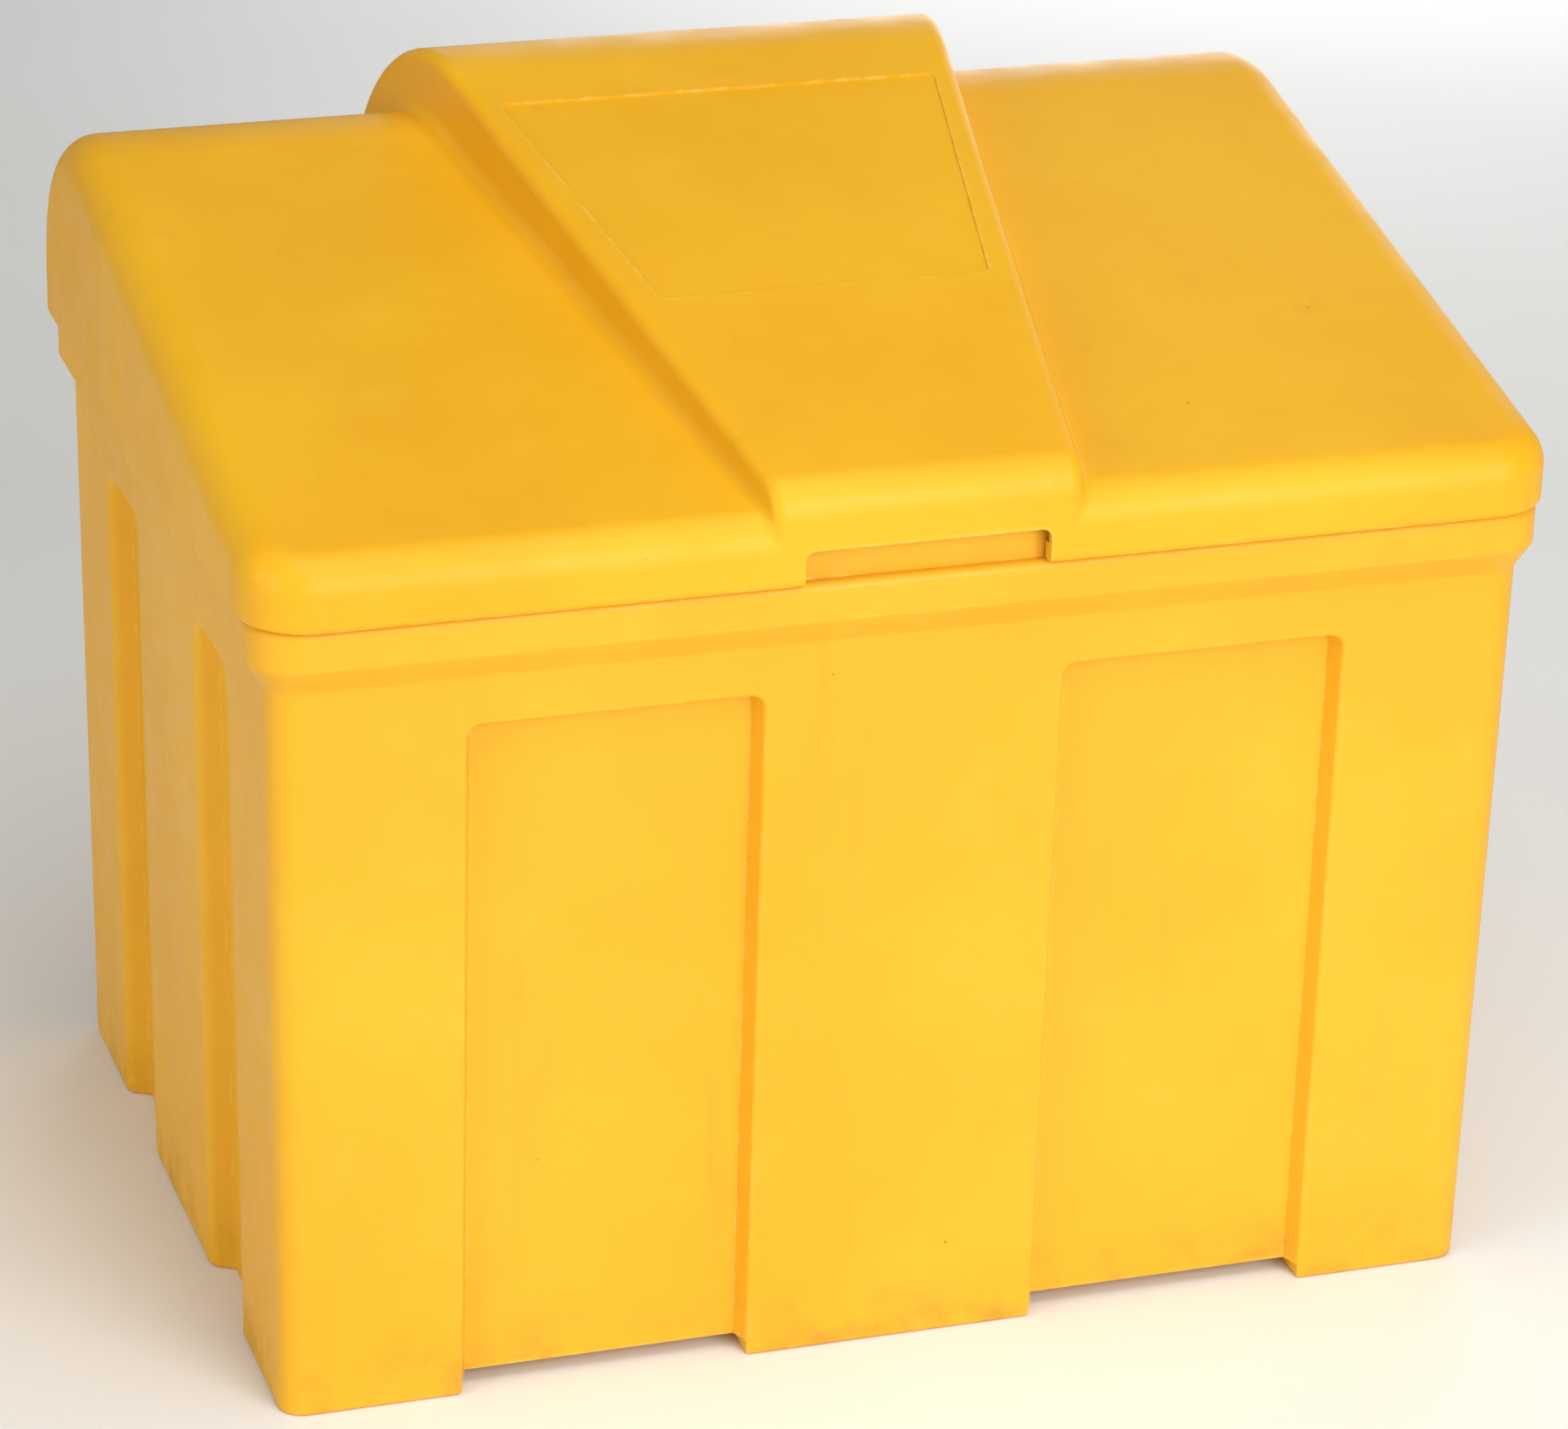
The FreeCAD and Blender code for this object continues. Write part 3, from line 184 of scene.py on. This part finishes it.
def moulded_plastic(name, deep, middle, pale, seed):
    """Sun-faced rotomoulded polyethylene: mottled, faintly pitted, paler at its edges from scuffing
    and from a painted highlight.
    """
    material = bpy.data.materials.new(name)
    g = Graph(material)
    drift = g.noise(3.1 + seed, 4.0, 0.55)
    cloud = g.noise(17.0 + seed, 5.0, 0.6)
    grain = g.noise(620.0, 2.0, 0.6)
    colour = g.mixed(g.ramp(drift, 0.32, 0.68), deep, middle)
    colour = g.mixed(g.ramp(cloud, 0.50, 0.85, 0.0, 0.30), colour, pale)
    colour = g.mixed(g.ramp(grain, 0.35, 0.75, 0.0, 0.16), colour, deep)

    streaks = g.noise(9.0, 4.0, 0.6, g.scaled((3.5, 3.5, 0.35)))
    colour = g.mixed(g.ramp(streaks, 0.60, 0.82, 0.0, 0.22), colour, shade(196, 140, 40))

    # Paler edges and corners: partly scuffing, partly a painted highlight in place of the sheen on
    # rounded edges.
    scuff_and_highlight_edges = g.edges(0.004)
    broken = g.ramp(g.noise(95.0, 4.0, 0.7), 0.42, 0.66)
    scuff_and_highlight = g.maths("MULTIPLY", scuff_and_highlight_edges, broken)
    colour = g.mixed(g.maths("MULTIPLY", scuff_and_highlight, 0.38), colour, shade(255, 226, 138))

    specks = g.cells(46.0)
    dot = g.ramp(specks.outputs["Distance"], 0.055, 0.030)
    rare = g.ramp(g.noise(14.0, 2.0, 0.5), 0.60, 0.66)
    dirt = g.maths("MULTIPLY", dot, rare)
    colour = g.mixed(g.maths("MULTIPLY", dirt, 0.55), colour, shade(92, 66, 30))

    height = g.add("ShaderNodeSeparateXYZ")
    g.link(g.place, height.inputs[0])
    low = g.ramp(height.outputs["Z"], 0.055, 0.0)
    splash = g.ramp(g.noise(38.0, 5.0, 0.65), 0.40, 0.72)
    grime = g.maths("MULTIPLY", low, splash)
    colour = g.mixed(g.maths("MULTIPLY", grime, 0.35), colour, shade(146, 108, 52))
    g.link(colour, g.shader.inputs["Base Color"])

    rough = g.ramp(g.noise(26.0, 5.0, 0.65), 0.25, 0.80, 0.36, 0.52)
    rough = g.maths("ADD", rough, g.maths("MULTIPLY", scuff_and_highlight, 0.12))
    rough = g.maths("ADD", rough, g.maths("MULTIPLY", grime, 0.18))
    g.link(rough, g.shader.inputs["Roughness"])

    orange_peel = g.noise(210.0, 3.0, 0.55)
    pits = g.ramp(g.cells(330.0).outputs["Distance"], 0.0, 0.16)
    sag = g.noise(7.5, 2.0, 0.5)
    normal = g.bump(sag, 0.0016, 0.30)
    normal = g.bump(orange_peel, 0.00022, 0.40, normal)
    normal = g.bump(pits, 0.00012, 0.18, normal)
    g.link(normal, g.shader.inputs["Normal"])
    g.shader.inputs["IOR"].default_value = 1.51
    g.shader.inputs["Specular IOR Level"].default_value = 0.24
    g.shader.inputs["Subsurface Weight"].default_value = 0.05
    g.shader.inputs["Subsurface Radius"].default_value = (0.006, 0.003, 0.001)
    g.shader.inputs["Subsurface Scale"].default_value = 0.6
    return material


def galvanised(name):
    """Hot-dip zinc: grey spangles, dull patches and a little white bloom."""
    material = bpy.data.materials.new(name)
    g = Graph(material)
    spangle = g.cells(240.0).outputs["Color"]
    tone = g.add("ShaderNodeSeparateColor")
    g.link(spangle, tone.inputs[0])
    colour = g.mixed(tone.outputs[0], shade(150, 154, 158), shade(192, 195, 197))
    bloom = g.ramp(g.noise(70.0, 5.0, 0.65), 0.55, 0.78)
    colour = g.mixed(g.maths("MULTIPLY", bloom, 0.5), colour, shade(212, 212, 206))
    stain = g.ramp(g.noise(120.0, 4.0, 0.7), 0.66, 0.80)
    colour = g.mixed(g.maths("MULTIPLY", stain, 0.45), colour, shade(132, 92, 60))
    g.link(colour, g.shader.inputs["Base Color"])
    rough = g.ramp(tone.outputs[1], 0.0, 1.0, 0.38, 0.56, smooth=False)
    rough = g.maths("ADD", rough, g.maths("MULTIPLY", bloom, 0.16))
    g.link(rough, g.shader.inputs["Roughness"])
    normal = g.bump(g.noise(480.0, 3.0, 0.6), 0.00008, 0.5)
    g.link(normal, g.shader.inputs["Normal"])
    g.shader.inputs["Metallic"].default_value = 0.92
    return material


def plated(name):
    """Bright zinc plate on turned and pressed steel, paler at its edges from rubbing and from a
    painted highlight.
    """
    material = bpy.data.materials.new(name)
    g = Graph(material)
    cloud = g.noise(160.0, 4.0, 0.6)
    colour = g.mixed(g.ramp(cloud, 0.3, 0.7), shade(186, 188, 190), shade(214, 214, 210))
    tint = g.ramp(g.noise(55.0, 3.0, 0.5), 0.48, 0.72)
    colour = g.mixed(g.maths("MULTIPLY", tint, 0.35), colour, shade(206, 196, 158))
    # Paler edges: partly the plate thinned by rubbing, partly a painted highlight in place of the
    # sheen on bevelled edges.
    rubbed_edge_and_highlight = g.edges(0.0006)
    colour = g.mixed(g.maths("MULTIPLY", rubbed_edge_and_highlight, 0.5), colour, shade(236, 236, 234))
    g.link(colour, g.shader.inputs["Base Color"])
    turned = g.noise(900.0, 2.0, 0.5, g.scaled((1.0, 1.0, 0.2)))
    rough = g.ramp(turned, 0.3, 0.7, 0.20, 0.34)
    g.link(rough, g.shader.inputs["Roughness"])
    g.link(g.bump(turned, 0.00004, 0.4), g.shader.inputs["Normal"])
    g.shader.inputs["Metallic"].default_value = 1.0
    return material


yellow_tub = moulded_plastic(
    "tub_polyethylene", shade(232, 172, 36), shade(238, 181, 44), shade(244, 193, 63), 0.0)
yellow_lid = moulded_plastic(
    "lid_polyethylene", shade(230, 169, 25), shade(236, 178, 32), shade(243, 190, 50), 0.9)
zinc = galvanised("galvanised_steel")
bright = plated("zinc_plated_steel")
finishes = {
    "tub_plastic": yellow_tub,
    "lid_plastic": yellow_lid,
    "zinc_steel": zinc,
    "bright_steel": bright,
}

for node in nodes.values():
    for slot in node.material_slots:
        slot.material = finishes[slot.material.name.split(".")[0]]


# ------------------------------------------------------------- added pieces

def joined_rows(mesh, rows):
    """Skin between neighbouring closed rows of points, with both ends capped."""
    for first, second in zip(rows, rows[1:]):
        for step in range(len(first)):
            following = (step + 1) % len(first)
            mesh.faces.new((first[step], first[following], second[following], second[step]))
    mesh.faces.new(rows[0])
    mesh.faces.new(rows[-1])
    bmesh.ops.recalc_face_normals(mesh, faces=mesh.faces)


def riding_piece(name, mesh, finish, body):
    """An object made from a bmesh, in its finish, on its body."""
    data = bpy.data.meshes.new(name)
    mesh.to_mesh(data)
    mesh.free()
    data.materials.append(finish)
    piece = bpy.data.objects.new(name, data)
    bpy.context.scene.collection.objects.link(piece)
    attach(piece, body)
    return piece


# ------------------------------------------------------------- flash lines

def rounded_loop(half_x, half_y, height, front_round, back_round, steps=10):
    """Points round a rectangle in plan, from the front's right end anticlockwise to its left end."""
    corners = (
        (1, -1, front_round, -90), (1, 1, back_round, 0),
        (-1, 1, back_round, 90), (-1, -1, front_round, 180),
    )
    points = []
    for side, end, radius, start in corners:
        for step in range(steps + 1):
            angle = math.radians(start + 90 * step / steps)
            across = side * (half_x - radius) + radius * math.cos(angle)
            along = end * (half_y - radius) + radius * math.sin(angle)
            points.append(Vector((across, along, height)))
    return points


def flash_line(name, points, radius, finish, body):
    """The fine raised line that the mould leaves, as an uneven bead along level points."""
    mesh = bmesh.new()
    rings = []
    count = len(points)
    sides = 6
    thinnest = 0.75
    for index, point in enumerate(points):
        ahead = points[min(index + 1, count - 1)]
        behind = points[max(index - 1, 0)]
        along = (ahead - behind).normalized()
        outward = along.cross(Vector((0, 0, 1)))
        thick = radius * random.uniform(thinnest, 1.0)
        ring = []
        for step in range(sides):
            angle = math.tau * step / sides
            offset = outward * math.cos(angle) + Vector((0, 0, 1)) * math.sin(angle)
            ring.append(mesh.verts.new(point + offset * thick))
        rings.append(ring)
    joined_rows(mesh, rings)
    piece = riding_piece(name, mesh, finish, body)
    piece.data.polygons.foreach_set("use_smooth", [True] * len(piece.data.polygons))


def divided(points, longest):
    """The same line with no step longer than a limit."""
    result = []
    for first, second in zip(points, points[1:]):
        parts = max(1, math.ceil((second - first).length / longest))
        result += [first.lerp(second, part / parts) for part in range(parts)]
    return result + [points[-1]]


flash_radius = 0.0004
step_length = 0.012
lid_low, lid_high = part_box("lid")
tub_low, tub_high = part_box("tub")

# Round the lid's lower edge, on its rounding, from one side of the hand notch to the other.
foot_round = 0.004
edge_height = 0.0012
notch_half = 0.0755
lid_front_corner = 0.040
lid_back_corner = 0.024
set_in = foot_round - math.sqrt(foot_round ** 2 - (foot_round - edge_height) ** 2)
lid_half_x = lid_high.x - set_in
lid_half_y = -lid_low.y - set_in
loop = rounded_loop(lid_half_x, lid_half_y, lid_low.z + edge_height, lid_front_corner, lid_back_corner)
starts = [Vector((notch_half, -lid_half_y, lid_low.z + edge_height))]
ends = [Vector((-notch_half, -lid_half_y, lid_low.z + edge_height))]
around = divided(starts + loop + ends, step_length)
flash_line("lid_flash_line", around, flash_radius, yellow_lid, "lid")

# Round the foot of the tub's rim band, in two lengths that stop at the hinge seats.
leaf_low, leaf_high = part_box("tub_hinge_leaf_right")
seat_reach = 0.0065
below_lid = 0.0231
sunk = 0.0002
band_corner = 0.0299
band_foot = lid_low.z - below_lid
half_x = tub_high.x - sunk
half_y = -tub_low.y - sunk
loop = rounded_loop(half_x, half_y, band_foot, band_corner, band_corner)
half_count = len(loop) // 2
seat_near = leaf_low.x - seat_reach
seat_far = leaf_high.x + seat_reach
around = [Vector((-seat_far, half_y, band_foot))] + loop[half_count:] + loop[:half_count]
around.append(Vector((seat_far, half_y, band_foot)))
across = [Vector((seat_near, half_y, band_foot)), Vector((-seat_near, half_y, band_foot))]
for name, points in (("tub_flash_line", around), ("tub_flash_line_back", across)):
    flash_line(name, divided(points, step_length), flash_radius, yellow_tub, "bin")


# ------------------------------------------------------------- bolt threads

def bolt_thread(name, centre, start, end, radius, finish, body):
    """A rolled thread: a ridge that winds along +Y round a bolt's tip and fades at both ends."""
    pitch = 0.0010
    ridge = 0.00026
    root_depth = 0.0001
    half_root = Vector((0, pitch * 0.42, 0))
    steps = 20
    fade_steps = 5
    count = int((end - start) / pitch * steps)
    mesh = bmesh.new()
    rows = []
    for index in range(count + 1):
        angle = math.tau * index / steps
        outward = Vector((math.cos(angle), 0, math.sin(angle)))
        axis_point = Vector((centre.x, start + index * pitch / steps, centre.z))
        root = axis_point + outward * (radius - root_depth)
        fade = min(1.0, index / fade_steps, (count - index) / fade_steps)
        crest = axis_point + outward * (radius + ridge * fade)
        rows.append([mesh.verts.new(point) for point in (root - half_root, crest, root + half_root)])
    joined_rows(mesh, rows)
    riding_piece(name, mesh, finish, body)


bolt_pitch = 0.034
bolt_radius = 0.003
bare_tip = 0.0005
for owner, body in (("tub", "bin"), ("lid", "lid")):
    for side in ("left", "right"):
        nut_low, nut_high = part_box(owner + "_hinge_nuts_" + side)
        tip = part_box(owner + "_hinge_bolts_" + side)[1].y
        row_middle = (nut_low + nut_high) / 2
        for place in (-1, 0, 1):
            centre = row_middle + Vector((place * bolt_pitch, 0, 0))
            label = "%s_bolt_thread_%s_%d" % (owner, side, place + 2)
            end = tip - bare_tip
            bolt_thread(label, centre, nut_high.y, end, bolt_radius, bright, body)


# ------------------------------------------------------------- floor, light, camera

def stage_material():
    """Pale matt floor paint."""
    material = bpy.data.materials.new("pale_floor")
    g = Graph(material)
    tone = g.ramp(g.noise(1.3, 3.0, 0.5), 0.3, 0.7)
    colour = g.mixed(tone, (0.86, 0.86, 0.855, 1.0), (0.90, 0.90, 0.895, 1.0))
    g.link(colour, g.shader.inputs["Base Color"])
    g.shader.inputs["Roughness"].default_value = 0.75
    return material


floor_mesh = bpy.data.meshes.new("floor")
floor_half = 14.0
floor_mesh.from_pydata(
    [(-floor_half, -floor_half, 0), (floor_half, -floor_half, 0),
     (floor_half, floor_half, 0), (-floor_half, floor_half, 0)], [], [(0, 1, 2, 3)])
floor_mesh.materials.append(stage_material())
floor = bpy.data.objects.new("floor", floor_mesh)
bpy.context.scene.collection.objects.link(floor)

# The world is brighter near the horizon and dimmer overhead, with 1 straight up.
horizon_strength = 0.37
overhead_strength = 0.15
gradient_start = 0.22
gradient_end = 0.60
world = bpy.data.worlds.new("studio")
bpy.context.scene.world = world
world.use_nodes = True
sky = world.node_tree
background = sky.nodes["Background"]
background.inputs["Color"].default_value = (1.0, 1.0, 1.0, 1.0)
sky_place = sky.nodes.new("ShaderNodeTexCoord")
sky_parts = sky.nodes.new("ShaderNodeSeparateXYZ")
ceiling = sky.nodes.new("ShaderNodeMapRange")
ceiling.interpolation_type = "SMOOTHSTEP"
ceiling.inputs["From Min"].default_value = gradient_start
ceiling.inputs["From Max"].default_value = gradient_end
ceiling.inputs["To Min"].default_value = horizon_strength
ceiling.inputs["To Max"].default_value = overhead_strength
sky.links.new(sky_place.outputs["Generated"], sky_parts.inputs[0])
sky.links.new(sky_parts.outputs["Z"], ceiling.inputs["Value"])
sky.links.new(ceiling.outputs["Result"], background.inputs["Strength"])
bpy.context.scene.view_settings.view_transform = "Standard"


def softbox(name, where, towards, size, power, tint=(1.0, 1.0, 1.0)):
    """A square area light that faces a point."""
    data = bpy.data.lights.new(name, "AREA")
    data.size = size
    data.energy = power
    data.color = tint
    lamp = bpy.data.objects.new(name, data)
    lamp.location = where
    lamp.rotation_mode = "QUATERNION"
    lamp.rotation_quaternion = (Vector(towards) - Vector(where)).to_track_quat("-Z", "Y")
    bpy.context.scene.collection.objects.link(lamp)


middle = (cad_box[0] + cad_box[1]) / 2
softbox("key", (0.9, -3.6, 1.7), middle, 2.4, 107.0, (1.0, 0.965, 0.97))
softbox("top", (0.2, -1.1, 3.6), middle, 2.8, 62.0, (0.985, 1.0, 0.95))
softbox("side", (-3.2, -1.3, 1.5), middle, 2.2, 45.0, (1.0, 0.97, 0.90))
softbox("back", (1.7, 3.1, 1.0), middle, 2.0, 32.0)

# The lens, shift, place and aim were fitted to the photograph's edges.
camera_data = bpy.data.cameras.new("camera")
camera_data.sensor_width = 36.0
camera_data.lens = 131.88
camera_data.shift_x = 0.0330
camera_data.shift_y = -0.0034
camera_data.clip_start = 0.05
camera_data.clip_end = 60.0
camera = bpy.data.objects.new("camera", camera_data)
camera.location = (-1.0537, -3.1504, 1.7367)
forward = Vector((0.28600, 0.87233, -0.39654)).normalized()
right = Vector((0.95296, -0.30226, 0.02240))
right = (right - forward * right.dot(forward)).normalized()
up = right.cross(forward)
camera.rotation_mode = "QUATERNION"
camera.rotation_quaternion = Matrix((right, up, -forward)).transposed().to_quaternion()
bpy.context.scene.collection.objects.link(camera)
bpy.context.scene.camera = camera
